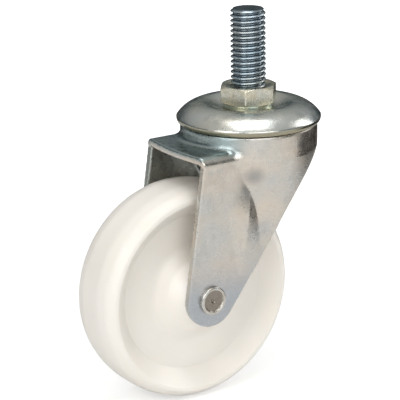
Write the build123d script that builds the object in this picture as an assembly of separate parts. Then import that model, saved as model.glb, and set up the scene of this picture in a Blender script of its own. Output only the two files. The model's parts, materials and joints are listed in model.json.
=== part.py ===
from build123d import *
import math
import os

# Swivel castor with a threaded stem, in millimetres.
# The origin is the centre of the lock nut's top face, on the swivel axis. +Z is up
# along the stem, the wheel trails towards -X, and Y runs along the wheel's axle.
# The stem and the cap stay still, the pressed fork turns under the cap on two rings
# of balls, and the wheel turns on a sleeve that the axle rivet clamps in the fork.

# ---- driving sizes -------------------------------------------------------------

# stem: M12, the thread's outside diameter
STEM_RADIUS = 6.0
STEM_LENGTH = 26.0
STEM_CHAMFER = 0.9
THREAD_DEPTH = 0.95
HEAD_RADIUS = 12.0
HEAD_THICKNESS = 3.0
HEAD_CHAMFER = 1.0

# lock nut and washer
NUT_ACROSS_FLATS = 18.0
NUT_THICKNESS = 6.0
NUT_CORNER_ANGLE = 49.5
NUT_BEVEL_ANGLE = 30.0
WASHER_RADIUS = 8.7
WASHER_THICKNESS = 1.8

# cap: a domed pressing with a dished seat and a curled rim
CAP_RIM_RADIUS = 24.7
CAP_RIM_DROP = 4.9
CAP_SHOULDER_WIDTH = 3.3
CAP_SHOULDER_DROP = 1.8
CAP_DOME_WIDTH = 7.7
CAP_CROWN_WIDTH = 3.0
CAP_CROWN_RISE = 1.9
CAP_SEAT_RADIUS = 9.4
CAP_SHEET = 2.0
CAP_CURL = 1.8
CAP_CURL_TUCK = 0.7

# balls and their races: each ring is full, so its balls take their size from it
RING_INSET = 6.7
UPPER_BALL_COUNT = 18
LOWER_BALL_COUNT = 12
RACE_LIP_WIDTH = 4.4
RACE_WALL = 2.0

# fork: one pressed sheet
SHEET = 2.5
TURRET_TRACK_DEPTH = 2.1
TURRET_RISE = 4.8
TURRET_SHOULDER = 1.0
TURRET_SKIRT = 8.2
TURRET_FOOT = 2.0
LEG_OUTER_WIDTH = 35.0
FOLD_RADIUS = 3.0
PLATE_REACH = 31.9
PLATE_BOW = 1.9
LEG_FRONT_REACH = 29.9
REAR_EDGE_INSET = 3.9
REAR_KNEE_TRAIL = 0.7
REAR_ARCH_DEPTH = 2.2
REAR_CORNER_RADIUS = 4.0
BOSS_RADIUS = 9.4
CONE_HEIGHT = 26.0
RIB_HEIGHT = 37.0
RIB_RISE = 2.3
RIB_TOP_REACH = 11.6
RIB_TIP_REACH = 15.8
RIB_FRONT_WIDTH = 12.5
RIB_REAR_WIDTH = 3.5

# wheel and axle
TRAIL = 27.5
WHEEL_RADIUS = 37.5
WHEEL_WIDTH = 23.0
WHEEL_TOP_GAP = 9.5
TREAD_FLAT = 9.8
TREAD_SHOULDER_WIDTH = 19.0
TREAD_SHOULDER_DROP = 1.2
TREAD_DROP = 3.9
RIM_INNER_RADIUS = 27.3
RIM_BEVEL = 0.7
WEB_THICKNESS = 11.6
HUB_END_RADIUS = 8.8
HUB_BASE_RADIUS = 12.4
HUB_BASE_WIDTH = 18.0
HUB_FOOT_RADIUS = 16.5
SLEEVE_RADIUS = 6.0
RIVET_RADIUS = 4.0
RIVET_HEAD_RADIUS = 4.9
RIVET_HEAD_HEIGHT = 1.3
RIVET_HEAD_CHAMFER = 0.6
RIVET_DISH_RADIUS = 3.7
RIVET_DISH_DEPTH = 0.5

# clearances
THREAD_CLEARANCE = 0.05
CAP_OVERHANG = 1.3
WASHER_CLEARANCE = 0.25
SEAT_CLEARANCE = 0.05
BALL_CLEARANCE = 0.15
BALL_SPACING = 0.25
SHOULDER_CLEARANCE = 0.2
BORE_CLEARANCE = 1.0
COLLAR_GAP = 1.0
RUNNING_CLEARANCE = 0.06
RIVET_CLEARANCE = 0.04
HUB_SIDE_CLEARANCE = 0.3

# ---- heights, from the seat down ---------------------------------------------------

# half of a 45 degree bend: where two tangents to a ball's track meet
HALF_BEND = math.tan(math.radians(22.5))

core_radius = STEM_RADIUS - THREAD_DEPTH
nut_bottom = -NUT_THICKNESS
cap_seat = nut_bottom - WASHER_THICKNESS
cap_underside = cap_seat - CAP_SHEET
cap_crown = cap_seat + CAP_CROWN_RISE
cap_shoulder = cap_crown - CAP_SHOULDER_DROP
cap_rim = cap_crown - CAP_RIM_DROP
cap_lip = cap_rim - CAP_CURL

crown_edge = CAP_RIM_RADIUS - CAP_DOME_WIDTH
crown_radius = crown_edge - CAP_CROWN_WIDTH
shoulder_edge = CAP_RIM_RADIUS - CAP_SHOULDER_WIDTH
turret_radius = CAP_RIM_RADIUS - CAP_OVERHANG
rear_edge_reach = turret_radius - REAR_EDGE_INSET

# the upper balls touch the cap's inner slope, between its crown and its shoulder
dome_slope = math.atan2(CAP_SHOULDER_DROP, shoulder_edge - crown_edge)
upper_ring_radius = CAP_RIM_RADIUS - RING_INSET
dome_at_ring = cap_crown - (upper_ring_radius - crown_edge) * math.tan(dome_slope)
upper_ball_radius = upper_ring_radius * math.sin(math.pi / UPPER_BALL_COUNT) - BALL_SPACING / 2
upper_track = upper_ball_radius + BALL_CLEARANCE
upper_ball_z = dome_at_ring - (CAP_SHEET + upper_track) / math.cos(dome_slope)

# the fork's groove carries the upper balls, with flanks at 45 degrees
groove_floor = upper_ball_z - upper_track
groove_half = upper_track * HALF_BEND
turret_top = groove_floor + TURRET_TRACK_DEPTH
plate_top = turret_top - TURRET_RISE
skirt_bottom = turret_top - TURRET_SKIRT
cone_bottom = skirt_bottom - CONE_HEIGHT

# the groove's inner flank rises to a collar, and the lower balls run under its corner,
# where their ring's radius and their own depend on each other
collar_top = cap_underside - COLLAR_GAP
collar_radius = upper_ring_radius - groove_half - (collar_top - groove_floor)
lower_half_angle = math.sin(math.pi / LOWER_BALL_COUNT)
lower_corner = collar_radius - (SHEET + BALL_CLEARANCE - BALL_SPACING / 2) * HALF_BEND
lower_ring_radius = lower_corner / (1 + lower_half_angle * HALF_BEND)
lower_ball_radius = lower_ring_radius * lower_half_angle - BALL_SPACING / 2
lower_track = lower_ball_radius + BALL_CLEARANCE
race_foot = lower_ring_radius - lower_track * HALF_BEND
shoulder_radius = lower_ring_radius - lower_ball_radius - SHOULDER_CLEARANCE
lower_ball_z = collar_top - SHEET - lower_track
race_floor = lower_ball_z - lower_track
race_bottom = race_floor - RACE_WALL

axle_z = plate_top - SHEET - WHEEL_TOP_GAP - WHEEL_RADIUS
axle_centre = (-TRAIL, axle_z)
fork_gap = LEG_OUTER_WIDTH - 2 * SHEET
fold_foot = plate_top - FOLD_RADIUS

os.makedirs("parts", exist_ok=True)


def write(solid, name):
    export_step(solid, f"parts/{name}.step")


def disc(radius, low, high):
    """A cylinder about the swivel axis between two heights."""
    return Pos(0, 0, (low + high) / 2) * Cylinder(radius, high - low)


def turned(points):
    """A solid of revolution from the points of its half section, as (radius, height)."""
    section = make_face(Polyline(*points, close=True))
    return revolve(Plane.XZ * section, axis=Axis.Z)


# ---- stem, nut and washer ------------------------------------------------------------


def make_stem():
    """Kingpin with a riveted head and a shoulder; the M12 mount starts at the nut's top."""
    head_bottom = race_bottom - HEAD_THICKNESS
    return turned([
        (0, head_bottom),
        (HEAD_RADIUS - HEAD_CHAMFER, head_bottom),
        (HEAD_RADIUS, head_bottom + HEAD_CHAMFER),
        (HEAD_RADIUS, race_bottom),
        (shoulder_radius, race_bottom),
        (shoulder_radius, cap_underside),
        (STEM_RADIUS, cap_underside),
        (STEM_RADIUS, nut_bottom),
        (core_radius, nut_bottom),
        (core_radius, 0),
        (STEM_RADIUS, 0),
        (STEM_RADIUS, STEM_LENGTH - STEM_CHAMFER),
        (STEM_RADIUS - STEM_CHAMFER, STEM_LENGTH),
        (0, STEM_LENGTH),
    ])


def make_nut():
    """Thin hexagon nut, bevelled at its corners and countersunk at both ends of its thread."""
    inscribed = NUT_ACROSS_FLATS / 2
    hexagon = RegularPolygon(inscribed, 6, major_radius=False, rotation=NUT_CORNER_ANGLE)
    corner = NUT_ACROSS_FLATS / math.sqrt(3)
    bevel = (corner - inscribed) * math.tan(math.radians(NUT_BEVEL_ANGLE))
    bore = core_radius + THREAD_CLEARANCE
    countersink = STEM_RADIUS + THREAD_CLEARANCE
    blank = turned([
        (bore, nut_bottom + THREAD_DEPTH),
        (countersink, nut_bottom),
        (inscribed, nut_bottom),
        (corner, nut_bottom + bevel),
        (corner, -bevel),
        (inscribed, 0),
        (countersink, 0),
        (bore, -THREAD_DEPTH),
    ])
    return extrude(hexagon, amount=-NUT_THICKNESS) & blank


def make_washer():
    bore = STEM_RADIUS + WASHER_CLEARANCE
    return disc(WASHER_RADIUS, cap_seat, nut_bottom) - disc(bore, cap_seat, nut_bottom)


# ---- cap and lower race ----------------------------------------------------------------


def make_cap():
    """Domed cover and upper race: a dished seat, a crown, a sloping dome and a curled lip."""
    bore = STEM_RADIUS + THREAD_CLEARANCE
    inner_shoulder = shoulder_edge - CAP_SHEET * math.tan(dome_slope)
    inner_rim = CAP_RIM_RADIUS - CAP_SHEET
    return turned([
        (bore, cap_seat),
        (CAP_SEAT_RADIUS, cap_seat),
        (crown_radius, cap_crown),
        (crown_edge, cap_crown),
        (shoulder_edge, cap_shoulder),
        (CAP_RIM_RADIUS, cap_rim),
        (CAP_RIM_RADIUS - CAP_CURL_TUCK, cap_lip),
        (inner_rim, cap_lip),
        (inner_rim, cap_rim),
        (inner_shoulder, cap_shoulder - CAP_SHEET),
        (crown_edge, cap_crown - CAP_SHEET / math.cos(dome_slope)),
        (crown_radius, cap_crown - CAP_SHEET),
        (CAP_SEAT_RADIUS, cap_underside),
        (bore, cap_underside),
    ])


def make_lower_race():
    """Coned ring under the lower balls, seated on the stem's head."""
    bore = shoulder_radius + SEAT_CLEARANCE
    rim = race_foot + RACE_LIP_WIDTH
    return turned([
        (bore, race_bottom),
        (rim, race_bottom),
        (rim, race_floor),
        (race_foot, race_floor),
        (bore, race_floor + race_foot - bore),
    ])


# ---- balls -----------------------------------------------------------------------------


def make_ball(radius):
    """A bearing ball, given 26 flats inside its sphere because it is sealed from view."""
    across = 1 + math.sqrt(2)
    edge = 2 * radius / math.hypot(across, math.sqrt(2))
    side = edge * across
    return chamfer(Box(side, side, side).edges(), edge / math.sqrt(2))


def write_balls(name, count, ring_radius, ball_radius, height):
    """A ring of evenly spaced balls, each a piece of its own."""
    ball = make_ball(ball_radius)
    for place in range(count):
        spot = Rot(0, 0, 360 * place / count) * Pos(ring_radius, 0, height)
        write(spot * ball, f"{name}_{place + 1:02d}")


# ---- fork ------------------------------------------------------------------------------


def make_rib(side, depth):
    """Stiffening rib down a leg: a low ridge that narrows to a point."""
    face = LEG_OUTER_WIDTH / 2 - depth
    top = skirt_bottom + TURRET_SHOULDER
    ridge = Polyline(
        (-RIB_TOP_REACH - RIB_FRONT_WIDTH, side * (face - SHEET)),
        (-RIB_TOP_REACH - RIB_FRONT_WIDTH, side * face),
        (-RIB_TOP_REACH, side * (face + RIB_RISE)),
        (-RIB_TOP_REACH + RIB_REAR_WIDTH, side * face),
        (-RIB_TOP_REACH + RIB_REAR_WIDTH, side * (face - SHEET)),
        close=True,
    )
    tip = Vertex(-RIB_TIP_REACH, side * face, top - RIB_HEIGHT)
    return loft([Pos(0, 0, top) * make_face(ridge), tip])


def slab(depth, top):
    """The front plate and both legs, as a solid block with folded upper corners."""
    half = LEG_OUTER_WIDTH / 2 - depth
    foot = axle_z - BOSS_RADIUS - 1
    profile = Plane.YZ * Pos(0, (top + foot) / 2) * Rectangle(2 * half, top - foot)
    corners = profile.vertices().sort_by(Axis.Z)[-2:]
    profile = fillet(corners, max(FOLD_RADIUS - depth, SHEET / 4))
    return extrude(profile, amount=-PLATE_REACH - BOSS_RADIUS)


def pressed_form(depth):
    """The solid that the sheet wraps, set in by a depth from the sheet's outside."""
    wall_radius = turret_radius - depth
    plate = plate_top - depth
    foot = TURRET_FOOT + depth * (2 - math.sqrt(2))
    turret = disc(wall_radius, skirt_bottom, turret_top - TURRET_SHOULDER)
    flare = Pos(0, 0, plate + foot / 2) * Cone(wall_radius + foot, wall_radius, foot)
    taper = Pos(0, 0, (skirt_bottom + cone_bottom) / 2) * Cone(
        LEG_OUTER_WIDTH / 2 - depth, wall_radius, CONE_HEIGHT
    )
    form = slab(depth, plate) + turret + taper + (flare & slab(depth, plate + foot))
    for side in (-1, 1):
        form += make_rib(side, depth)
    return form


def make_turret_head():
    """Top of the turret in section: shoulder, upper ball groove, and collar round the bore."""
    bore = shoulder_radius + BORE_CLEARANCE
    groove_top = groove_half + TURRET_TRACK_DEPTH
    under_half = groove_half + SHEET * HALF_BEND
    wall = turret_radius - SHEET
    under_floor = groove_floor - SHEET
    wall_foot = under_floor + wall - upper_ring_radius - under_half
    return turned([
        (turret_radius, wall_foot),
        (turret_radius, turret_top - TURRET_SHOULDER),
        (turret_radius - TURRET_SHOULDER, turret_top),
        (upper_ring_radius + groove_top, turret_top),
        (upper_ring_radius + groove_half, groove_floor),
        (upper_ring_radius - groove_half, groove_floor),
        (collar_radius, collar_top),
        (bore, collar_top),
        (bore, collar_top - SHEET),
        (collar_radius - SHEET * HALF_BEND, collar_top - SHEET),
        (upper_ring_radius - under_half, under_floor),
        (upper_ring_radius + under_half, under_floor),
        (wall, wall_foot),
    ])


def tangent_point(outside, centre, radius, side):
    """Where a line from a point outside a circle touches it."""
    dx = outside[0] - centre[0]
    dz = outside[1] - centre[1]
    angle = math.atan2(dz, dx) + side * math.acos(radius / math.hypot(dx, dz))
    return (centre[0] + radius * math.cos(angle), centre[1] + radius * math.sin(angle))


def side_profile():
    """Outline of the fork seen along the axle."""
    front_top = (-LEG_FRONT_REACH, fold_foot)
    rear_top = (rear_edge_reach, skirt_bottom)
    rear_knee = (-REAR_KNEE_TRAIL, cone_bottom)
    front_low = tangent_point(front_top, axle_centre, BOSS_RADIUS, 1)
    rear_low = tangent_point(rear_knee, axle_centre, BOSS_RADIUS, -1)
    behind = turret_radius + REAR_CORNER_RADIUS
    ahead = -PLATE_REACH - 1
    with BuildSketch(Plane.XZ) as outline:
        with BuildLine():
            Line(front_top, front_low)
            ThreePointArc(front_low, (-TRAIL, axle_z - BOSS_RADIUS), rear_low)
            Line(rear_low, rear_knee)
            SagittaArc(rear_knee, rear_top, REAR_ARCH_DEPTH)
            Polyline(
                rear_top,
                (behind, skirt_bottom),
                (behind, cap_seat),
                (ahead, cap_seat),
                (ahead, fold_foot),
                front_top,
            )
        make_face()
        corner = outline.vertices().sort_by_distance(rear_top)[0]
        fillet(corner, REAR_CORNER_RADIUS)
    return extrude(outline.sketch, amount=LEG_OUTER_WIDTH, both=True)


def front_trim():
    """What is cut away ahead of the plate, whose front edge bows forward between the legs."""
    half = LEG_OUTER_WIDTH / 2
    corner = -PLATE_REACH + PLATE_BOW
    ahead = -PLATE_REACH - BOSS_RADIUS
    with BuildSketch(Plane.XY.offset(fold_foot)) as plan:
        with BuildLine():
            ThreePointArc((corner, -half), (-PLATE_REACH, 0), (corner, half))
            Polyline((corner, half), (ahead, half), (ahead, -half), (corner, -half))
        make_face()
    return extrude(plan.sketch, amount=turret_top - fold_foot)


def make_fork():
    """Turret, front plate and legs, pressed from one sheet."""
    hollow = pressed_form(SHEET)
    hollow += disc(turret_radius - SHEET, skirt_bottom, turret_top)
    sheet = pressed_form(0) - hollow
    axle_hole = Pos(-TRAIL, 0, axle_z) * Rot(90, 0, 0) * Cylinder(
        RIVET_RADIUS + RIVET_CLEARANCE, 2 * LEG_OUTER_WIDTH
    )
    return (sheet & side_profile()) - front_trim() - axle_hole + make_turret_head()


# ---- axle and wheel ---------------------------------------------------------------------


def on_axle(piece):
    """Move a piece made about the swivel axis onto the wheel's axle."""
    return Pos(-TRAIL, 0, axle_z) * Rot(90, 0, 0) * piece


def make_sleeve():
    """Spacer tube that the rivet clamps between the legs; the wheel turns on it."""
    bore = RIVET_RADIUS + RIVET_CLEARANCE
    ends = (-fork_gap / 2, fork_gap / 2)
    return on_axle(disc(SLEEVE_RADIUS, *ends) - disc(bore, *ends))


def make_rivet():
    """Axle rivet: a plain shank with a dished head turned over against each leg."""
    face = LEG_OUTER_WIDTH / 2
    top = face + RIVET_HEAD_HEIGHT
    half = [
        (RIVET_RADIUS, face),
        (RIVET_HEAD_RADIUS, face),
        (RIVET_HEAD_RADIUS, top - RIVET_HEAD_CHAMFER),
        (RIVET_HEAD_RADIUS - RIVET_HEAD_CHAMFER, top),
        (RIVET_DISH_RADIUS, top),
        (RIVET_DISH_RADIUS - RIVET_DISH_DEPTH, top - RIVET_DISH_DEPTH),
        (0, top - RIVET_DISH_DEPTH),
    ]
    return on_axle(turned([(r, -along) for r, along in reversed(half)] + half))


def make_wheel():
    """Moulded nylon wheel: crowned tread, bevelled rim, dished web and conical hub."""
    bore = SLEEVE_RADIUS + RUNNING_CLEARANCE
    hub_end = fork_gap / 2 - HUB_SIDE_CLEARANCE
    side = WHEEL_WIDTH / 2
    web = WEB_THICKNESS / 2
    half = [
        (bore, hub_end),
        (HUB_END_RADIUS, hub_end),
        (HUB_BASE_RADIUS, HUB_BASE_WIDTH / 2),
        (HUB_FOOT_RADIUS, web),
        (RIM_INNER_RADIUS, web),
        (WHEEL_RADIUS - TREAD_DROP - RIM_BEVEL, side),
        (WHEEL_RADIUS - TREAD_DROP, side),
        (WHEEL_RADIUS - TREAD_SHOULDER_DROP, TREAD_SHOULDER_WIDTH / 2),
        (WHEEL_RADIUS, TREAD_FLAT / 2),
    ]
    return on_axle(turned(half + [(r, -along) for r, along in reversed(half)]))


# ---- write every piece -------------------------------------------------------------------

write(make_stem(), "stem")
write(make_nut(), "lock_nut")
write(make_washer(), "stem_washer")
write(make_cap(), "top_cap")
write(make_lower_race(), "lower_race")
write_balls("upper_ball", UPPER_BALL_COUNT, upper_ring_radius, upper_ball_radius, upper_ball_z)
write_balls("lower_ball", LOWER_BALL_COUNT, lower_ring_radius, lower_ball_radius, lower_ball_z)
write(make_fork(), "fork")
write(make_sleeve(), "axle_sleeve")
write(make_rivet(), "axle_rivet")
write(make_wheel(), "wheel")
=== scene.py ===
import json
import math

import bmesh
import bpy
import numpy as np
import openvdb
from mathutils import Matrix, Vector


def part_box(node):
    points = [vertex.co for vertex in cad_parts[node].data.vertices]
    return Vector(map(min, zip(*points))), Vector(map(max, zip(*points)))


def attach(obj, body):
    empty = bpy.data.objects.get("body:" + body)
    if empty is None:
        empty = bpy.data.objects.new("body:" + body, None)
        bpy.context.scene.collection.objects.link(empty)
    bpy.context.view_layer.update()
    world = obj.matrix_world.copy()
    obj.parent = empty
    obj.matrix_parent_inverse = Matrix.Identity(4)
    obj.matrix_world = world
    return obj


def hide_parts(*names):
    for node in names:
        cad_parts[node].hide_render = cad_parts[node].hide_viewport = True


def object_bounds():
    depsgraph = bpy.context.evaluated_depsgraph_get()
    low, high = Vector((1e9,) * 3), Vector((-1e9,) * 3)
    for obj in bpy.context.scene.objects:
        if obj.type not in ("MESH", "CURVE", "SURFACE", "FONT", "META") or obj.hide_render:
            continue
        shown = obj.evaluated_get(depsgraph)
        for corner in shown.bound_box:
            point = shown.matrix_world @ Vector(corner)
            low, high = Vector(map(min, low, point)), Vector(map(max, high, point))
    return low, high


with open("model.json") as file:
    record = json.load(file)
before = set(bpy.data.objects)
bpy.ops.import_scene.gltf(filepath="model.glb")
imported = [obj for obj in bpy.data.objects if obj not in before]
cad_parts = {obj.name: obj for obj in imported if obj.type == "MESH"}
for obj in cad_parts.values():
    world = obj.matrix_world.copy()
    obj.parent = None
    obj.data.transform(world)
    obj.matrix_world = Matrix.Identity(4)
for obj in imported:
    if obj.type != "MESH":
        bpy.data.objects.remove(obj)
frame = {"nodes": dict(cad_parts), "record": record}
cad_low, cad_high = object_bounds()
MM = 0.001
scene = bpy.context.scene

# ---- Stem ----------------------------------------------------------------------------
# The stem is a turned steel kingpin, zinc plated with a bluish cast. Its upper part is
# cold rolled with an M12 thread whose last turn dies out on a worn, sheared end; its
# head is riveted over the lower race inside the fork.

STEM_RADIUS = 6.0 * MM
THREAD_CORE = 5.05 * MM
THREAD_PITCH = 1.75 * MM
STEM_LENGTH = 26.0 * MM
STEM_CHAMFER = 0.9 * MM
THREAD_FOOT = -9.0 * MM


def node_sum(tree, kind, *terms, clamp=False):
    """A Math node on these terms, each a socket or a number; returns its result."""
    node = tree.nodes.new("ShaderNodeMath")
    node.operation = kind
    node.use_clamp = clamp
    for place, term in enumerate(terms):
        if isinstance(term, (int, float)):
            node.inputs[place].default_value = term
        else:
            tree.links.new(term, node.inputs[place])
    return node.outputs[0]


def rule_tree(name, sizes):
    """An empty Geometry Nodes tree with these named sizes, and its input and output nodes."""
    tree = bpy.data.node_groups.new(name, "GeometryNodeTree")
    tree.interface.new_socket("Geometry", in_out="INPUT", socket_type="NodeSocketGeometry")
    tree.interface.new_socket("Geometry", in_out="OUTPUT", socket_type="NodeSocketGeometry")
    for label, kind in sizes:
        tree.interface.new_socket(label, in_out="INPUT", socket_type="NodeSocket" + kind)
    given = tree.nodes.new("NodeGroupInput")
    made = tree.nodes.new("NodeGroupOutput")
    return tree, given, made


def close_tree(tree, geometry, given, made):
    """Ends a tree in Realize Instances and Set Material."""
    real = tree.nodes.new("GeometryNodeRealizeInstances")
    painted = tree.nodes.new("GeometryNodeSetMaterial")
    tree.links.new(geometry, real.inputs[0])
    tree.links.new(real.outputs[0], painted.inputs["Geometry"])
    tree.links.new(given.outputs["Finish"], painted.inputs["Material"])
    tree.links.new(painted.outputs[0], made.inputs[0])


def grown(name, tree, values):
    """The plain mesh object that a tree makes from these values, its modifier removed."""
    seed = bpy.data.objects.new(name + "_seed", bpy.data.meshes.new(name + "_seed"))
    scene.collection.objects.link(seed)
    rule = seed.modifiers.new("rule", "NODES")
    rule.node_group = tree
    sockets = {s.name: s.identifier for s in tree.interface.items_tree if s.in_out == "INPUT"}
    for label, value in values.items():
        rule[sockets[label]] = value
    evaluated = seed.evaluated_get(bpy.context.evaluated_depsgraph_get())
    mesh = bpy.data.meshes.new_from_object(evaluated)
    mesh.name = name
    seed.modifiers.clear()
    bpy.data.objects.remove(seed)
    piece = bpy.data.objects.new(name, mesh)
    scene.collection.objects.link(piece)
    return piece


def faced_out(piece, smooth=True, sharp_angle=math.radians(38)):
    """Merges doubles, turns faces outward, and shades smooth between sharp edges."""
    build = bmesh.new()
    build.from_mesh(piece.data)
    bmesh.ops.remove_doubles(build, verts=build.verts, dist=1e-6)
    bmesh.ops.recalc_face_normals(build, faces=build.faces)
    for face in build.faces:
        face.smooth = smooth
    for edge in build.edges:
        edge.smooth = len(edge.link_faces) == 2 and edge.calc_face_angle(0) < sharp_angle
    build.to_mesh(piece.data)
    build.free()
    return piece


GRAIN_PER_METRE = 1900
COARSE_GRAIN_PER_METRE = 900
GRAIN_DEPTH = 0.12 * MM


def plated(name, cool, warm, dark, roughness, mottle_size, grain=(1, 1, 1), relief=0.15):
    """Zinc-plated steel: cool and warm patches, faint dark stain, and a fine uneven grain."""
    paint = bpy.data.materials.new(name)
    paint.use_nodes = True
    tree = paint.node_tree
    shader = tree.nodes["Principled BSDF"]
    shader.inputs["Metallic"].default_value = 1.0
    place = tree.nodes.new("ShaderNodeTexCoord").outputs["Object"]

    def noise(scale, detail, stretch=(1, 1, 1), roughness_step=0.5):
        turn = tree.nodes.new("ShaderNodeMapping")
        turn.inputs["Scale"].default_value = stretch
        cloud = tree.nodes.new("ShaderNodeTexNoise")
        cloud.inputs["Scale"].default_value = scale
        cloud.inputs["Detail"].default_value = detail
        cloud.inputs["Roughness"].default_value = roughness_step
        tree.links.new(place, turn.inputs["Vector"])
        tree.links.new(turn.outputs[0], cloud.inputs["Vector"])
        return cloud.outputs[0]

    def blend(share, first, second):
        mix = tree.nodes.new("ShaderNodeMix")
        mix.data_type = "RGBA"
        tree.links.new(share, mix.inputs["Factor"])
        for socket, colour in ((mix.inputs["A"], first), (mix.inputs["B"], second)):
            if isinstance(colour, tuple):
                socket.default_value = (*colour, 1)
            else:
                tree.links.new(colour, socket)
        return mix.outputs["Result"]

    def spread(value, low, high, to_low, to_high):
        ramp = tree.nodes.new("ShaderNodeMapRange")
        ramp.inputs["From Min"].default_value = low
        ramp.inputs["From Max"].default_value = high
        ramp.inputs["To Min"].default_value = to_low
        ramp.inputs["To Max"].default_value = to_high
        tree.links.new(value, ramp.inputs["Value"])
        return ramp.outputs[0]

    # patches as wide as the mottle, stains in them, and smears of duller and brighter skin
    patches = spread(noise(1 / mottle_size, 3), 0.35, 0.65, 0, 1)
    stain = spread(noise(2.3 / mottle_size, 5, roughness_step=0.65), 0.52, 0.78, 0, 0.55)
    fine_grain = noise(GRAIN_PER_METRE, 4, grain)
    tree.links.new(blend(stain, blend(patches, cool, warm), dark), shader.inputs["Base Color"])
    tree.links.new(spread(noise(4 / mottle_size, 4), 0.3, 0.7, roughness - 0.06, roughness + 0.08),
                   shader.inputs["Roughness"])
    coarse_grain = node_sum(tree, "MULTIPLY", noise(COARSE_GRAIN_PER_METRE, 3), 0.8)
    bump = tree.nodes.new("ShaderNodeBump")
    bump.inputs["Strength"].default_value = relief
    bump.inputs["Distance"].default_value = GRAIN_DEPTH
    tree.links.new(node_sum(tree, "ADD", fine_grain, coarse_grain), bump.inputs["Height"])
    tree.links.new(bump.outputs[0], shader.inputs["Normal"])
    return paint


def washed(paint, colour, strength, *ranges):
    """Turns a finish towards a colour where every range of (axis, from, to) is met.

    An axis is X, Y or Z, or a centre point and the two axes to measure away from it."""
    tree = paint.node_tree
    shader = tree.nodes["Principled BSDF"]
    apart = tree.nodes.new("ShaderNodeSeparateXYZ")
    tree.links.new(tree.nodes.new("ShaderNodeTexCoord").outputs["Object"], apart.inputs[0])
    whole = strength
    for axis, start, end in ranges:
        if axis in ("X", "Y", "Z"):
            where = apart.outputs[axis]
        else:
            centre, pair = axis
            squares = []
            for letter in pair:
                away = node_sum(tree, "SUBTRACT", apart.outputs[letter], centre["XYZ".index(letter)])
                squares.append(node_sum(tree, "MULTIPLY", away, away))
            where = node_sum(tree, "SQRT", node_sum(tree, "ADD", *squares))
        share = tree.nodes.new("ShaderNodeMapRange")
        share.interpolation_type = "SMOOTHSTEP"
        share.inputs["From Min"].default_value = start
        share.inputs["From Max"].default_value = end
        tree.links.new(where, share.inputs["Value"])
        whole = node_sum(tree, "MULTIPLY", share.outputs[0], whole)
    mix = tree.nodes.new("ShaderNodeMix")
    mix.data_type = "RGBA"
    tree.links.new(whole, mix.inputs["Factor"])
    tree.links.new(shader.inputs["Base Color"].links[0].from_socket, mix.inputs["A"])
    mix.inputs["B"].default_value = (*colour, 1)
    tree.links.new(mix.outputs["Result"], shader.inputs["Base Color"])


stem_finish = plated("blue_zinc_thread", (0.50, 0.60, 0.67), (0.64, 0.67, 0.67), (0.24, 0.27, 0.30),
                     0.24, 9 * MM, relief=0.12)
STEM_AXIS = ((0, 0, 0), "XY")
# painted shade: the thread's roots, and the end face inside the chamfer, are painted near black inside 5.75
# mm radius
washed(stem_finish, (0.10, 0.13, 0.155), 0.85, (STEM_AXIS, 5.75 * MM, 5.15 * MM))

tree, given, made = rule_tree("rolled_thread", [
    ("Outside Radius", "Float"), ("Core Radius", "Float"), ("Pitch", "Float"), ("Foot", "Float"),
    ("Length", "Float"), ("Chamfer", "Float"), ("Steps Around", "Int"), ("Steps Along", "Int"),
    ("Finish", "Material")])
size = given.outputs
skin = tree.nodes.new("GeometryNodeMeshGrid")
tree.links.new(node_sum(tree, "ADD", size["Steps Around"], 1), skin.inputs["Vertices X"])
tree.links.new(size["Steps Along"], skin.inputs["Vertices Y"])
skin.inputs["Size X"].default_value = 1
skin.inputs["Size Y"].default_value = 1
spot = tree.nodes.new("GeometryNodeInputPosition")
apart = tree.nodes.new("ShaderNodeSeparateXYZ")
tree.links.new(spot.outputs[0], apart.inputs[0])
around = node_sum(tree, "ADD", apart.outputs["X"], 0.5)
along = node_sum(tree, "ADD", apart.outputs["Y"], 0.5)
# the path runs up the thread and then in across the end face to the axis
climb = node_sum(tree, "SUBTRACT", size["Length"], size["Foot"])
path = node_sum(tree, "MULTIPLY", along, node_sum(tree, "ADD", climb, size["Outside Radius"]))
height = node_sum(tree, "ADD", node_sum(tree, "MINIMUM", path, climb), size["Foot"])
in_from_end = node_sum(tree, "SUBTRACT", node_sum(tree, "ADD", climb, size["Outside Radius"]), path)
turns = node_sum(tree, "SUBTRACT", node_sum(tree, "DIVIDE", height, size["Pitch"]), around)
phase = node_sum(tree, "FRACT", node_sum(tree, "ADD", turns, 100))
rise = node_sum(tree, "ABSOLUTE", node_sum(tree, "MULTIPLY_ADD", phase, 2, -1))
flank = tree.nodes.new("ShaderNodeMapRange")
flank.interpolation_type = "SMOOTHSTEP"
flank.inputs["From Min"].default_value = 0.16
flank.inputs["From Max"].default_value = 0.94
tree.links.new(rise, flank.inputs["Value"])
tree.links.new(size["Core Radius"], flank.inputs["To Min"])
tree.links.new(size["Outside Radius"], flank.inputs["To Max"])
wear = tree.nodes.new("ShaderNodeTexNoise")
wear.noise_dimensions = "1D"
wear.inputs["Scale"].default_value = 3.0
tree.links.new(around, wear.inputs["W"])
end_radius = node_sum(tree, "SUBTRACT", size["Outside Radius"], size["Chamfer"])
from_end = node_sum(tree, "SUBTRACT", size["Length"], height)
bevel = node_sum(tree, "ADD", end_radius, from_end)
radius = node_sum(tree, "MINIMUM", node_sum(tree, "MINIMUM", flank.outputs[0], bevel), in_from_end)
angle = node_sum(tree, "MULTIPLY", around, 2 * math.pi)
point = tree.nodes.new("ShaderNodeCombineXYZ")
tree.links.new(node_sum(tree, "MULTIPLY", radius, node_sum(tree, "COSINE", angle)), point.inputs["X"])
tree.links.new(node_sum(tree, "MULTIPLY", radius, node_sum(tree, "SINE", angle)), point.inputs["Y"])
tree.links.new(height, point.inputs["Z"])
wrapped = tree.nodes.new("GeometryNodeSetPosition")
tree.links.new(skin.outputs["Mesh"], wrapped.inputs["Geometry"])
tree.links.new(point.outputs[0], wrapped.inputs["Position"])
sewn = tree.nodes.new("GeometryNodeMergeByDistance")
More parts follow.
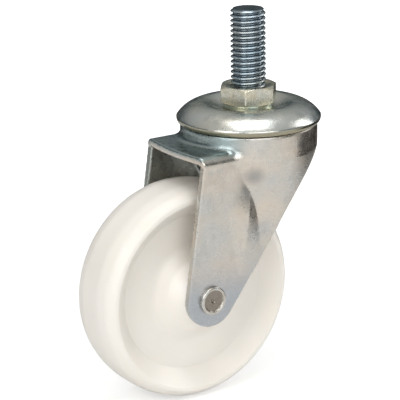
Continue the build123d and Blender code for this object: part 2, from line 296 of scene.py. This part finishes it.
sewn.inputs["Distance"].default_value = 0.000005
tree.links.new(wrapped.outputs[0], sewn.inputs["Geometry"])
close_tree(tree, sewn.outputs[0], given, made)
thread = grown("stem_thread", tree, {
    "Outside Radius": STEM_RADIUS, "Core Radius": THREAD_CORE, "Pitch": THREAD_PITCH,
    "Foot": THREAD_FOOT, "Length": STEM_LENGTH, "Chamfer": STEM_CHAMFER,
    "Steps Around": 84, "Steps Along": 330, "Finish": stem_finish})
faced_out(thread, sharp_angle=math.radians(60))
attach(thread, "mount")
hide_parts("stem")

# The shoulder that carries the cap and the riveted head show only from below, between
# the fork's legs. They are plain turned steel with edges broken by the tool.

SHOULDER_RADIUS = 7.57 * MM
SHOULDER_TOP = -9.8 * MM
HEAD_RADIUS = 12.0 * MM
HEAD_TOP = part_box("lower_race")[0].z
HEAD_THICKNESS = 3.0 * MM


def eased(corners, steps=6):
    """The outline through these (radius, height, fillet) corners with each corner rounded."""
    outline = []
    for place, (r, h, fillet) in enumerate(corners):
        here = Vector((r, h))
        if fillet == 0:
            outline.append((r, h))
            continue
        before = Vector(corners[place - 1][:2]) - here
        after = Vector(corners[(place + 1) % len(corners)][:2]) - here
        reach = min(fillet / math.tan(before.angle(after) / 2), before.length * 0.49, after.length * 0.49)
        start = here + before.normalized() * reach
        end = here + after.normalized() * reach
        for step in range(steps + 1):
            share = step / steps
            curve = start * (1 - share) ** 2 + here * 2 * share * (1 - share) + end * share ** 2
            outline.append((curve.x, curve.y))
    return outline


def lathed(name, outline, finish, steps=144, centre=(0, 0, 0), lying=False, ring=True, trim=None):
    """Spins an outline of (radius, height) points into a mesh, about Z or, lying, about Y."""
    points, faces = [], []
    count = len(outline)
    for step in range(steps):
        angle = 2 * math.pi * step / steps
        for r, h in outline:
            reach = min(r, trim(angle)) if trim else r
            x, z = reach * math.cos(angle), reach * math.sin(angle)
            spot = (x, h, z) if lying else (x, z, h)
            points.append([spot[axis] + centre[axis] for axis in range(3)])
        after = (step + 1) % steps
        for place in range(count if ring else count - 1):
            beyond = (place + 1) % count
            faces.append((step * count + place, after * count + place,
                          after * count + beyond, step * count + beyond))
    mesh = bpy.data.meshes.new(name)
    mesh.from_pydata(points, [], faces)
    mesh.materials.append(finish)
    piece = bpy.data.objects.new(name, mesh)
    scene.collection.objects.link(piece)
    return faced_out(piece)


head = lathed("stem_head", [(0, HEAD_TOP - HEAD_THICKNESS)] + eased([
    (HEAD_RADIUS, HEAD_TOP - HEAD_THICKNESS, 1.2 * MM), (HEAD_RADIUS, HEAD_TOP, 0.2 * MM),
    (SHOULDER_RADIUS, HEAD_TOP, 0.2 * MM), (SHOULDER_RADIUS, SHOULDER_TOP, 0.3 * MM)])
    + [(0, SHOULDER_TOP)], stem_finish, ring=False)
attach(head, "mount")
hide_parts("stem")

# ---- Lock nut and washer -------------------------------------------------------------
# A thin hexagon nut, hot forged and bevelled top and bottom, with a yellowish passivated
# plate. It is screwed down on a blanked washer that sits in the cap's dished middle.

NUT_ACROSS_FLATS = 18.0 * MM
NUT_THICKNESS = 6.0 * MM
NUT_CORNER_ANGLE = math.radians(49.5)
NUT_BEVEL = math.tan(math.radians(30))
NUT_BORE = 6.05 * MM
NUT_COUNTERSINK = 0.8 * MM
WASHER_RADIUS = 8.7 * MM
WASHER_BORE = 6.25 * MM
WASHER_THICKNESS = 1.8 * MM


def hexagon(angle):
    """Reach of the nut's flats at an angle, with the corners worn a little round."""
    turn = (angle - NUT_CORNER_ANGLE) % (math.pi / 3)
    flats = [NUT_ACROSS_FLATS / 2 / max(math.cos(turn - side), 0.2) for side in (-math.pi / 6, math.pi / 6)]
    softness = 0.09 * MM
    low, high = min(flats), max(flats)
    return low - softness * math.log(1 + math.exp((low - high) / softness))


nut_finish = plated("yellow_zinc_nut", (0.66, 0.65, 0.57), (0.72, 0.66, 0.50), (0.28, 0.27, 0.23),
                    0.27, 5 * MM, relief=0.30)
flat = NUT_ACROSS_FLATS / 2
corner = NUT_ACROSS_FLATS / math.sqrt(3)
bevel_drop = (corner - flat) * NUT_BEVEL
side_height = NUT_THICKNESS - 2 * bevel_drop
top_bevel = [(flat - 0.5 * MM, 0), (flat - 0.15 * MM, -0.01 * MM)]
top_bevel += [(flat + (corner - flat) * s / 12, -bevel_drop * s / 12) for s in range(13)]
side = [(corner, -bevel_drop - side_height * s / 6) for s in range(1, 6)]
low_bevel = [(r, -NUT_THICKNESS - h) for r, h in reversed(top_bevel)]
bore = [(NUT_BORE + NUT_COUNTERSINK, -NUT_THICKNESS), (NUT_BORE, NUT_COUNTERSINK * 0.6 - NUT_THICKNESS),
        (NUT_BORE, -NUT_COUNTERSINK * 0.6), (NUT_BORE + NUT_COUNTERSINK, 0)]
nut = lathed("lock_nut_body", bore + top_bevel + side + low_bevel, nut_finish, steps=288, trim=hexagon)
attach(nut, "mount")
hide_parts("lock_nut")

washer_finish = plated("green_zinc_washer", (0.36, 0.44, 0.40), (0.52, 0.52, 0.38), (0.22, 0.24, 0.22),
                       0.28, 6 * MM)
washer = lathed("stem_washer_body", eased([
    (WASHER_BORE, -NUT_THICKNESS, 0.1 * MM), (WASHER_RADIUS, -NUT_THICKNESS, 0.45 * MM),
    (WASHER_RADIUS, -NUT_THICKNESS - WASHER_THICKNESS, 0.2 * MM),
    (WASHER_BORE, -NUT_THICKNESS - WASHER_THICKNESS, 0.1 * MM)]), washer_finish)
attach(washer, "mount")
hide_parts("stem_washer")

# ---- Cap -----------------------------------------------------------------------------
# The cap is deep drawn from 2 mm steel: a dished seat, a round crown that falls away as
# one arc to the rim, and a lip curled down and slightly in over the upper balls.

CAP_SHEET = 2.0 * MM
CAP_BORE = 6.05 * MM
CAP_SEAT_RADIUS = 9.4 * MM
CAP_SEAT = -7.8 * MM
DOME_CENTRE = (15.5 * MM, -16.99 * MM)
DOME_ARC = 11.09 * MM
DOME_END_ANGLE = 0.594
CAP_LIP = [(24.69, -11.1), (24.66, -11.5), (24.48, -11.95), (24.30, -12.35), (24.05, -12.57),
           (23.7, -12.6), (23.3, -12.55), (23.0, -12.3), (22.9, -11.8)]


def dome(inset):
    """The dome's arc from its crown to its rim, set in by a depth."""
    arc = []
    for step in range(25):
        angle = math.pi / 2 + (DOME_END_ANGLE - math.pi / 2) * step / 24
        arc.append((DOME_CENTRE[0] + (DOME_ARC - inset) * math.cos(angle),
                    DOME_CENTRE[1] + (DOME_ARC - inset) * math.sin(angle)))
    return arc


def valley(inset):
    """The S-shaped rise from the dished seat to the crown."""
    low, high = CAP_SEAT - inset, DOME_CENTRE[1] + DOME_ARC - inset
    start, end = CAP_SEAT_RADIUS, DOME_CENTRE[0]
    rise = []
    for step in range(12):
        share = step / 12
        lift = share * share * (3 - 2 * share)
        rise.append((start + (end - start) * share, low + (high - low) * lift))
    return rise


cap_finish = plated("warm_zinc_cap", (0.66, 0.68, 0.66), (0.72, 0.68, 0.58), (0.36, 0.37, 0.34),
                    0.25, 14 * MM, relief=0.26)
# painted reflection: the crown's top is painted darker and greener
washed(cap_finish, (0.50, 0.54, 0.49), 0.5, ("Z", -7.6 * MM, -6.2 * MM))
washed(cap_finish, (0.34, 0.31, 0.21), 0.9, ("Z", -10.7 * MM, -11.3 * MM))
outer = [(CAP_BORE, CAP_SEAT)] + valley(0) + dome(0)
lip = [(r * MM, h * MM) for r, h in CAP_LIP]
inner = [(CAP_BORE, CAP_SEAT - CAP_SHEET)] + valley(CAP_SHEET) + dome(CAP_SHEET)
cap = lathed("top_cap_pressing", outer + lip + inner[::-1], cap_finish, steps=200)
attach(cap, "mount")
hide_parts("top_cap")

# ---- Balls and lower race ------------------------------------------------------------
# Two rings of loose, greased bearing balls: 6 mm ones between the cap and the turret,
# and 5 mm ones between the turret's collar and a hardened cup on the stem's head.

UPPER_BALL_RADIUS = 3.0 * MM
LOWER_BALL_RADIUS = 2.54 * MM
BALL_FACETS = 3

ball_finish = plated("ball_steel_polish", (0.72, 0.73, 0.74), (0.70, 0.70, 0.69), (0.30, 0.28, 0.22),
                     0.12, 3 * MM, relief=0.03)
tree, given, made = rule_tree("ball_ring", [
    ("Count", "Int"), ("Ring Radius", "Float"), ("Ball Radius", "Float"), ("Height", "Float"),
    ("Finish", "Material")])
size = given.outputs
seats = tree.nodes.new("GeometryNodeMeshCircle")
tree.links.new(size["Count"], seats.inputs["Vertices"])
tree.links.new(size["Ring Radius"], seats.inputs["Radius"])
lift = tree.nodes.new("ShaderNodeCombineXYZ")
tree.links.new(size["Height"], lift.inputs["Z"])
raised = tree.nodes.new("GeometryNodeTransform")
tree.links.new(seats.outputs[0], raised.inputs["Geometry"])
tree.links.new(lift.outputs[0], raised.inputs["Translation"])
ball = tree.nodes.new("GeometryNodeMeshIcoSphere")
ball.inputs["Subdivisions"].default_value = BALL_FACETS
tree.links.new(size["Ball Radius"], ball.inputs["Radius"])
placed = tree.nodes.new("GeometryNodeInstanceOnPoints")
tree.links.new(raised.outputs[0], placed.inputs["Points"])
tree.links.new(ball.outputs["Mesh"], placed.inputs["Instance"])
close_tree(tree, placed.outputs[0], given, made)
for body, ball_radius in (("upper_balls", UPPER_BALL_RADIUS), ("lower_balls", LOWER_BALL_RADIUS)):
    seated = frame["record"]["behaviour"]["bodies"][body]
    first = sum(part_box(seated[0]), Vector()) / 2
    balls = grown(body[:-1] + "_ring", tree, {
        "Count": len(seated), "Ring Radius": first.xy.length, "Ball Radius": ball_radius,
        "Height": first.z, "Finish": ball_finish})
    faced_out(balls)
    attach(balls, body)
    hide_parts(*seated)

race_finish = plated("race_grease_steel", (0.52, 0.52, 0.51), (0.50, 0.47, 0.40), (0.16, 0.14, 0.10),
                     0.25, 4 * MM)
frame["nodes"]["lower_race"].data.materials.clear()
frame["nodes"]["lower_race"].data.materials.append(race_finish)

# ---- Fork ----------------------------------------------------------------------------
# The fork is one pressing of 2.5 mm steel: a turret with the ball track on its head, a
# bowed front plate and two tapered legs with a stiffening rib each. The press rounds its
# bends and leaves sheared edges a little soft; the plate is zinc with a mottled passivation.
# It is worked out in millimetres as a distance field: outer form, hollow, then the cuts.

FORK_GRID = 0.4
SHEET = 2.5
PLATE_TOP = -17.725
FOLD_FOOT = -20.725
FOLD_RADIUS = 3.0
PLATE_REACH = 31.9
PLATE_BOW = 1.9
LEG_HALF = 17.5
TURRET_RADIUS = 23.4
TURRET_TOP = -12.925
TURRET_FOOT_EASE = 2.4
CREASE_EASE = 0.7
SKIRT_BOTTOM = -21.125
CONE_BOTTOM = -47.125
RIB_TOP = -28.0
RIB_HEIGHT = 33.0
RIB_RISE = 1.7
RIB_RIDGE = (-11.9, -15.8)
RIB_FRONT_WIDTH = 10.0
RIB_REAR_WIDTH = 6.0
RIB_ONSET = 2.4
RIB_FADE = 1.25
RIB_FRONT_END = 1.1
RIB_REAR_START = 0.25
RIB_REAR_SPREAD = 1.3
RIB_SLOPE_SHARES = (0.05, 2)
DIMPLE = (-11.2, -26.5)
DIMPLE_RADIUS = 2.4
DIMPLE_DEPTH = 0.9
BOSS = (-27.5, -67.223)
BOSS_RADIUS = 9.4
LEG_FRONT = -29.9
REAR_TOP = (19.5, SKIRT_BOTTOM)
REAR_KNEE = (-0.7, CONE_BOTTOM)
REAR_ARCH_DEPTH = 2.2
AXLE_HOLE = 4.04
EDGE_EASE = 0.5
INNER_EASE = 0.05
HEAD_EASE = 0.3
SLOPE_MARGIN = 0.97
FORK_LOW = (-38.0, -25.5, -78.0)
FORK_HIGH = (25.5, 25.5, -9.5)
TURRET_SECTION = [
    (23.4, -19.4), (23.4, -13.9), (22.4, -12.925), (21.4, -12.925), (19.3, -15.02),
    (16.7, -15.02), (12.5, -10.8), (8.57, -10.8), (8.57, -13.3), (11.44, -13.3),
    (15.66, -17.52), (20.34, -17.52), (20.9, -18.1)]


def smooth_union(first, second, ease):
    """Two distance fields joined with a fillet about as wide as ease."""
    share = np.clip(0.5 + 0.5 * (second - first) / ease, 0, 1)
    return second * (1 - share) + first * share - ease * share * (1 - share)


def smooth_cut(first, second, ease):
    """The part that two distance fields share, its new edges rounded."""
    return -smooth_union(-first, -second, ease)


def outline_field(across, up, corners):
    """Signed distance to a closed outline, negative inside."""
    nearest = np.full(np.broadcast(across, up).shape, 1e6, dtype=np.float32)
    inside = np.zeros(nearest.shape, dtype=bool)
    for place, (x0, y0) in enumerate(corners):
        x1, y1 = corners[(place + 1) % len(corners)]
        dx, dy = x1 - x0, y1 - y0
        share = np.clip(((across - x0) * dx + (up - y0) * dy) / (dx * dx + dy * dy), 0, 1)
        nearest = np.minimum(nearest, np.hypot(across - x0 - share * dx, up - y0 - share * dy))
        if y0 != y1:
            crossing = (up < y0) != (up < y1)
            inside ^= crossing & (across < (up - y0) * dx / dy + x0)
    return np.where(inside, -nearest, nearest)


def touch_angle(outside, side):
    """Where round the boss a line from a point outside it touches, as an angle."""
    dx, dz = outside[0] - BOSS[0], outside[1] - BOSS[1]
    return math.atan2(dz, dx) + side * math.acos(BOSS_RADIUS / math.hypot(dx, dz))


def side_outline():
    """Outline of the fork seen along the axle: front edge, boss, knee and rear arch."""
    corners = [(LEG_FRONT, FOLD_FOOT)]
    first = touch_angle(corners[0], 1)
    last = touch_angle(REAR_KNEE, -1) + 2 * math.pi
    for step in range(25):
        angle = first + (last - first) * step / 24
        corners.append((BOSS[0] + BOSS_RADIUS * math.cos(angle),
                        BOSS[1] + BOSS_RADIUS * math.sin(angle)))
    run, climb = REAR_TOP[0] - REAR_KNEE[0], REAR_TOP[1] - REAR_KNEE[1]
    chord = math.hypot(run, climb)
    for step in range(13):
        share = step / 12
        dip = REAR_ARCH_DEPTH * 4 * share * (1 - share) / chord
        corners.append((REAR_KNEE[0] + run * share - climb * dip,
                        REAR_KNEE[1] + climb * share + run * dip))
    return corners + [(40, SKIRT_BOTTOM), (40, 0), (-60, 0), (-60, FOLD_FOOT)]


x, y, z = (np.arange(low, high, FORK_GRID, dtype=np.float32)
           for low, high in zip(FORK_LOW, FORK_HIGH))
x, y, z = x[:, None, None], y[None, :, None], z[None, None, :]
from_swivel = np.hypot(x, y)
from_axle = np.hypot(x - BOSS[0], z - BOSS[1])

# the rib: a low ridge on each leg, with a long front slope and a rear slope that widens
# downwards, under a shallow dimple where the sheet was drawn in
down = (RIB_TOP - z) / RIB_HEIGHT
start = np.clip(down * RIB_ONSET, 0, 1)
fade = start * start * (3 - 2 * start) * np.clip(RIB_FADE - RIB_FADE * down, 0, 1) ** 0.5
ridge = RIB_RIDGE[0] + (RIB_RIDGE[1] - RIB_RIDGE[0]) * down
front_share = np.clip(RIB_FRONT_END - down, *RIB_SLOPE_SHARES)
rear_share = np.clip(RIB_REAR_START + RIB_REAR_SPREAD * down, *RIB_SLOPE_SHARES)
front_slope = 1 - (ridge - x) / (RIB_FRONT_WIDTH * front_share)
rear_slope = 1 - (x - ridge) / (RIB_REAR_WIDTH * rear_share)
rib = RIB_RISE * fade * np.clip(np.minimum(front_slope, rear_slope), 0, 1)
from_dimple = (x - DIMPLE[0]) ** 2 + (z - DIMPLE[1]) ** 2
rise = rib - DIMPLE_DEPTH * np.exp(-from_dimple / (2 * DIMPLE_RADIUS ** 2))

# the outer form: a slab folded at its upper corners, and a turret that tapers below
beside = np.abs(y) - (LEG_HALF + rise - FOLD_RADIUS)
above = z - (PLATE_TOP - FOLD_RADIUS)
outside_fold = np.hypot(np.maximum(beside, 0), np.maximum(above, 0))
slab = outside_fold + np.minimum(np.maximum(beside, above), 0) - FOLD_RADIUS
slab = np.maximum(slab * SLOPE_MARGIN, x)
taper = (TURRET_RADIUS - LEG_HALF) / (SKIRT_BOTTOM - CONE_BOTTOM)
turret = (from_swivel - TURRET_RADIUS + taper * np.maximum(SKIRT_BOTTOM - z, 0)) / math.hypot(1, taper)
turret = np.maximum(np.maximum(turret, z - TURRET_TOP), CONE_BOTTOM - z)
foot_share = np.clip((z - SKIRT_BOTTOM) / SHEET + 1, 0, 1)
form = smooth_union(slab, turret, CREASE_EASE + (TURRET_FOOT_EASE - CREASE_EASE) * foot_share)

# the sheet round its hollow, trimmed by the side outline, the bowed front and the axle hole
hollow = np.minimum(form + SHEET, np.maximum(from_swivel - TURRET_RADIUS + SHEET, SKIRT_BOTTOM - z))
sheet = smooth_cut(form, -hollow, INNER_EASE)
sheet = smooth_cut(sheet, outline_field(x[:, :, 0], z[0], side_outline())[:, None, :], EDGE_EASE)
bow_radius = (LEG_HALF ** 2 + PLATE_BOW ** 2) / (2 * PLATE_BOW)
ahead = np.maximum(bow_radius - np.hypot(x + PLATE_REACH - bow_radius, y), FOLD_FOOT - z)
sheet = smooth_cut(sheet, -ahead, EDGE_EASE)
sheet = smooth_cut(sheet, AXLE_HOLE - from_axle, EDGE_EASE)

# the turret's head is worked out once in section, then read off at each distance from Z
section_step = FORK_GRID / 2
reach = np.arange(0, 40, section_step, dtype=np.float32)
head_section = outline_field(reach[:, None], z[0], TURRET_SECTION)
place = from_swivel[:, :, 0] / section_step
ring = np.clip(place.astype(int), 0, len(reach) - 2)
part_way = (place - ring)[:, :, None]
head_field = head_section[ring] * (1 - part_way) + head_section[ring + 1] * part_way
field = smooth_union(sheet, head_field, HEAD_EASE).astype(np.float32)

grid = openvdb.FloatGrid(background=1.0)
grid.copyFromArray(field, tolerance=0)
points, triangles, quads = grid.convertToPolygons(isovalue=0.0, adaptivity=0)
points = (points * FORK_GRID + np.array(FORK_LOW)) * MM
pressed = bpy.data.meshes.new("fork_pressing")
pressed.from_pydata(points.tolist(), [], quads.tolist() + triangles.tolist())
fork_finish = plated("mottled_zinc_fork", (0.62, 0.605, 0.57), (0.73, 0.64, 0.545), (0.44, 0.44, 0.43),
                     0.28, 12 * MM, relief=0.34)
# painted light: legs bluer and darker towards the bosses and a teal plate top (painted
# reflections), a browner, darker rear and a darker, greener far leg under the plate (painted
# shade), and a dark spot in the dimple (painted reflection)
dimple_reflection_centre = ((-11.2 * MM, 0, -26.5 * MM), "XZ")
# painted reflection: the legs turn bluer and darker towards the bosses
washed(fork_finish, (0.42, 0.46, 0.51), 0.8, ("Z", -48 * MM, -70 * MM))
# painted shade: the rear, which turns away from the light, is painted browner and darker
washed(fork_finish, (0.46, 0.39, 0.31), 0.7, ("X", 2 * MM, 19 * MM))
# painted reflection: the front plate's top is painted dark teal
washed(fork_finish, (0.34, 0.43, 0.44), 0.85, ("Z", -19.6 * MM, -18.0 * MM), ("X", -12 * MM, -19 * MM))
# painted reflection: a dark spot painted in the dimple, darkest at its middle
washed(fork_finish, (0.24, 0.26, 0.28), 0.6, (dimple_reflection_centre, 4.6 * MM, 0.5 * MM))
# painted shade: the far leg below the plate, inside the fork, is painted darker and greener
washed(fork_finish, (0.24, 0.28, 0.26), 0.6, ("Y", 12 * MM, 15 * MM), ("Z", -17.5 * MM, -22 * MM))
pressed.materials.append(fork_finish)
fork = bpy.data.objects.new("fork_pressing", pressed)
scene.collection.objects.link(fork)
faced_out(fork, sharp_angle=math.radians(75))
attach(fork, "fork")
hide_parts("fork")

# ---- Axle rivet and sleeve -----------------------------------------------------------
# A steel rivet is the axle. Each end is turned over against its leg: a bright rounded rim
# round a dull dished face with the punch's centre mark. It clamps a plain tube, on which
# the wheel runs.

AXLE = (-27.5 * MM, 0, -67.225 * MM)
LEG_FACE = 17.5 * MM
RIVET_RADIUS = 4.0 * MM
RIVET_HEAD_RADIUS = 4.9 * MM
RIVET_HEAD_HEIGHT = 1.3 * MM
DISH_RADIUS = 3.8 * MM
DISH_DEPTH = 0.55 * MM

rivet_finish = plated("rivet_rim_steel", (0.66, 0.65, 0.62), (0.58, 0.54, 0.48), (0.22, 0.19, 0.16),
                      0.24, 2.2 * MM, relief=0.3)
washed(rivet_finish, (0.20, 0.165, 0.13), 0.8, ((AXLE, "XZ"), 3.9 * MM, 3.3 * MM))
top = LEG_FACE + RIVET_HEAD_HEIGHT
head_end = eased([
    (RIVET_HEAD_RADIUS, LEG_FACE + 0.02 * MM, 0.1 * MM), (RIVET_HEAD_RADIUS, top, 0.75 * MM),
    (DISH_RADIUS, top, 0.35 * MM), (DISH_RADIUS - 0.25 * MM, top - DISH_DEPTH, 0.3 * MM),
    (0.9 * MM, top - DISH_DEPTH - 0.05 * MM, 0.2 * MM), (0.25 * MM, top - DISH_DEPTH - 0.35 * MM, 0.2 * MM)])
head_end = [(RIVET_RADIUS, LEG_FACE + 0.02 * MM)] + head_end + [(0, top - DISH_DEPTH - 0.38 * MM)]
rivet = lathed("axle_rivet_turned", [(r, -h) for r, h in reversed(head_end)] + head_end, rivet_finish,
               steps=96, centre=AXLE, lying=True, ring=False)
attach(rivet, "fork")
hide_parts("axle_rivet")

sleeve_finish = plated("sleeve_tube_steel", (0.58, 0.60, 0.62), (0.60, 0.58, 0.54), (0.25, 0.25, 0.24),
                       0.30, 6 * MM, grain=(6, 0.4, 6))
frame["nodes"]["axle_sleeve"].data.materials.clear()
frame["nodes"]["axle_sleeve"].data.materials.append(sleeve_finish)

# ---- Wheel ---------------------------------------------------------------------------
# The wheel is one moulding of natural white nylon: a crowned tread, a bevelled rim that
# leads into a shallow web, and a coned hub bored for the sleeve. Its skin is satin, with
# a faint flow pattern.

WHEEL_BORE = 6.06 * MM
HUB_END = 14.7 * MM
WHEEL_OUTLINE = [
    (WHEEL_BORE, HUB_END, 0.35 * MM), (8.8 * MM, HUB_END, 0.6 * MM), (12.4 * MM, 9.0 * MM, 4.0 * MM),
    (16.5 * MM, 5.8 * MM, 5.0 * MM), (27.3 * MM, 5.8 * MM, 0.7 * MM), (32.9 * MM, 11.5 * MM, 0.5 * MM),
    (34.2 * MM, 11.5 * MM, 1.2 * MM), (36.4 * MM, 9.0 * MM, 6.0 * MM), (37.48 * MM, 4.6 * MM, 12.0 * MM)]

nylon = bpy.data.materials.new("natural_nylon")
nylon.use_nodes = True
tree = nylon.node_tree
shader = tree.nodes["Principled BSDF"]
place = tree.nodes.new("ShaderNodeTexCoord").outputs["Object"]
flow = tree.nodes.new("ShaderNodeTexNoise")
flow.inputs["Scale"].default_value = 45
flow.inputs["Detail"].default_value = 4
tree.links.new(place, flow.inputs["Vector"])
cloud = tree.nodes.new("ShaderNodeMix")
cloud.data_type = "RGBA"
cloud.inputs["A"].default_value = (0.87, 0.81, 0.73, 1)
cloud.inputs["B"].default_value = (0.90, 0.865, 0.82, 1)
tree.links.new(flow.outputs[0], cloud.inputs["Factor"])
tree.links.new(cloud.outputs["Result"], shader.inputs["Base Color"])
shader.inputs["Roughness"].default_value = 0.30
shader.inputs["Subsurface Weight"].default_value = 0.25
shader.inputs["Subsurface Radius"].default_value = (0.9, 0.85, 0.7)
shader.inputs["Subsurface Scale"].default_value = 3 * MM
skin_noise = tree.nodes.new("ShaderNodeTexNoise")
skin_noise.inputs["Scale"].default_value = 900
skin_noise.inputs["Detail"].default_value = 3
tree.links.new(place, skin_noise.inputs["Vector"])
bump = tree.nodes.new("ShaderNodeBump")
bump.inputs["Strength"].default_value = 0.06
bump.inputs["Distance"].default_value = 0.0001
tree.links.new(skin_noise.outputs[0], bump.inputs["Height"])
tree.links.new(bump.outputs[0], shader.inputs["Normal"])
other_half = [(r, -h, fillet) for r, h, fillet in reversed(WHEEL_OUTLINE)]
wheel = lathed("nylon_wheel", eased(WHEEL_OUTLINE + other_half, steps=10), nylon, steps=240,
               centre=AXLE, lying=True)
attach(wheel, "wheel")
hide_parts("wheel")

# ---- Floor, lights and camera ---------------------------------------------------------
# A pale floor under the wheel and soft light from large panels, as in a plain studio.

FLOOR = cad_low.z
FLOOR_REACH = 3
LAMP_TARGET = Vector((0, 0, -0.04))
AIM = Vector((-0.0164, 0.0060, -0.03995))
AZIMUTH = math.radians(33.23)
ELEVATION = math.radians(17.19)
ROLL = math.radians(-0.88)
DISTANCE = 634.7 * MM
LENS = 166.2
GLOW_NEAR = (0.10, 0.40)
GLOW_FAR = (0.60, 1.0)
ROOM_TONES = [(0.0, (0.10, 0.10, 0.10)), (0.50, (0.05, 0.07, 0.075)), (0.62, (0.06, 0.085, 0.09)),
              (0.72, (0.34, 0.35, 0.35)), (1.0, (0.62, 0.62, 0.60))]
PANELS = [("left_panel", (-0.75, -0.30, 0.30), 0.5, 0.7, 2.5),
          ("front_panel", (-0.25, -0.95, 0.30), 0.8, 0.5, 3.1),
          ("right_panel", (0.70, -0.20, 0.20), 0.25, 0.7, 1.7),
          ("top_panel", (-0.05, -0.10, 0.75), 0.5, 0.5, 1.9)]
CARDS = [("side_card", (0.12, -0.105), (0.26, 0.26), 0.0),
         ("back_card", (0.30, 0.22), (-0.10, 0.34), 0.02)]

floor_paint = bpy.data.materials.new("pale_floor")
floor_paint.use_nodes = True
tree = floor_paint.node_tree
shader = tree.nodes["Principled BSDF"]
shader.inputs["Base Color"].default_value = (0.86, 0.86, 0.86, 1)
shader.inputs["Roughness"].default_value = 0.9
shader.inputs["Emission Color"].default_value = (1, 1, 1, 1)
# the camera alone sees the floor glow, more with distance, so it ends in plain white
rays = tree.nodes.new("ShaderNodeLightPath")
away = tree.nodes.new("ShaderNodeVectorMath")
away.operation = "LENGTH"
tree.links.new(tree.nodes.new("ShaderNodeTexCoord").outputs["Object"], away.inputs[0])
glow = tree.nodes.new("ShaderNodeMapRange")
glow.inputs["From Min"].default_value, glow.inputs["To Min"].default_value = GLOW_NEAR
glow.inputs["From Max"].default_value, glow.inputs["To Max"].default_value = GLOW_FAR
tree.links.new(away.outputs["Value"], glow.inputs["Value"])
tree.links.new(node_sum(tree, "MULTIPLY", rays.outputs["Is Camera Ray"], glow.outputs[0]),
               shader.inputs["Emission Strength"])
mesh = bpy.data.meshes.new("studio_floor")
mesh.from_pydata([(-FLOOR_REACH, -FLOOR_REACH, FLOOR), (FLOOR_REACH, -FLOOR_REACH, FLOOR),
                  (FLOOR_REACH, FLOOR_REACH, FLOOR), (-FLOOR_REACH, FLOOR_REACH, FLOOR)],
                 [], [(0, 1, 2, 3)])
mesh.materials.append(floor_paint)
floor = bpy.data.objects.new("studio_floor", mesh)
scene.collection.objects.link(floor)

# the camera sees white round the floor; the part sees a dim room that is lighter overhead
world = bpy.data.worlds.new("studio")
scene.world = world
world.use_nodes = True
tree = world.node_tree
sky = tree.nodes["Background"]
rays = tree.nodes.new("ShaderNodeLightPath")
room = tree.nodes.new("ShaderNodeValToRGB")
room.color_ramp.elements.remove(room.color_ramp.elements[0])
for stop, colour in ROOM_TONES:
    mark = room.color_ramp.elements.new(stop) if stop < 1 else room.color_ramp.elements[-1]
    mark.color = (*colour, 1)
apart = tree.nodes.new("ShaderNodeSeparateXYZ")
tree.links.new(tree.nodes.new("ShaderNodeTexCoord").outputs["Generated"], apart.inputs[0])
tree.links.new(node_sum(tree, "MULTIPLY_ADD", apart.outputs["Z"], 0.5, 0.5), room.inputs["Fac"])
seen = tree.nodes.new("ShaderNodeMix")
seen.data_type = "RGBA"
seen.inputs["B"].default_value = (1, 1, 1, 1)
tree.links.new(rays.outputs["Is Camera Ray"], seen.inputs["Factor"])
tree.links.new(room.outputs["Color"], seen.inputs["A"])
tree.links.new(seen.outputs["Result"], sky.inputs["Color"])

for name, place, width, height, power in PANELS:
    panel = bpy.data.lights.new(name, "AREA")
    panel.shape = "RECTANGLE"
    panel.size, panel.size_y, panel.energy = width, height, power
    lamp = bpy.data.objects.new(name, panel)
    lamp.location = place
    lamp.rotation_euler = (LAMP_TARGET - Vector(place)).to_track_quat("-Z", "Y").to_euler()
    scene.collection.objects.link(lamp)

# two black cards beside and behind the part give the plated faces dark edges; the camera
# doesn't see them and they cast no shadow
card_paint = bpy.data.materials.new("black_card")
card_paint.use_nodes = True
card_paint.node_tree.nodes["Principled BSDF"].inputs["Base Color"].default_value = (0.02, 0.02, 0.022, 1)
for name, near, far, top_edge in CARDS:
    mesh = bpy.data.meshes.new(name)
    mesh.from_pydata([(*near, FLOOR), (*far, FLOOR), (*far, top_edge), (*near, top_edge)],
                     [], [(0, 1, 2, 3)])
    mesh.materials.append(card_paint)
    card = bpy.data.objects.new(name, mesh)
    card.visible_camera = False
    card.visible_diffuse = False
    card.visible_shadow = False
    scene.collection.objects.link(card)

camera = bpy.data.objects.new("camera", bpy.data.cameras.new("camera"))
scene.collection.objects.link(camera)
scene.camera = camera
camera.data.lens = LENS
camera.data.clip_end = 10
back = Vector((math.sin(-AZIMUTH) * math.cos(ELEVATION), -math.cos(AZIMUTH) * math.cos(ELEVATION),
               math.sin(ELEVATION)))
level = Vector((math.cos(AZIMUTH), math.sin(-AZIMUTH), 0))
upright = back.cross(level)
right = level * math.cos(ROLL) + upright * math.sin(ROLL)
upward = upright * math.cos(ROLL) - level * math.sin(ROLL)
facing = Matrix((right, upward, back)).transposed().to_4x4()
camera.matrix_world = Matrix.Translation(AIM + back * DISTANCE) @ facing
scene.view_settings.view_transform = "Standard"
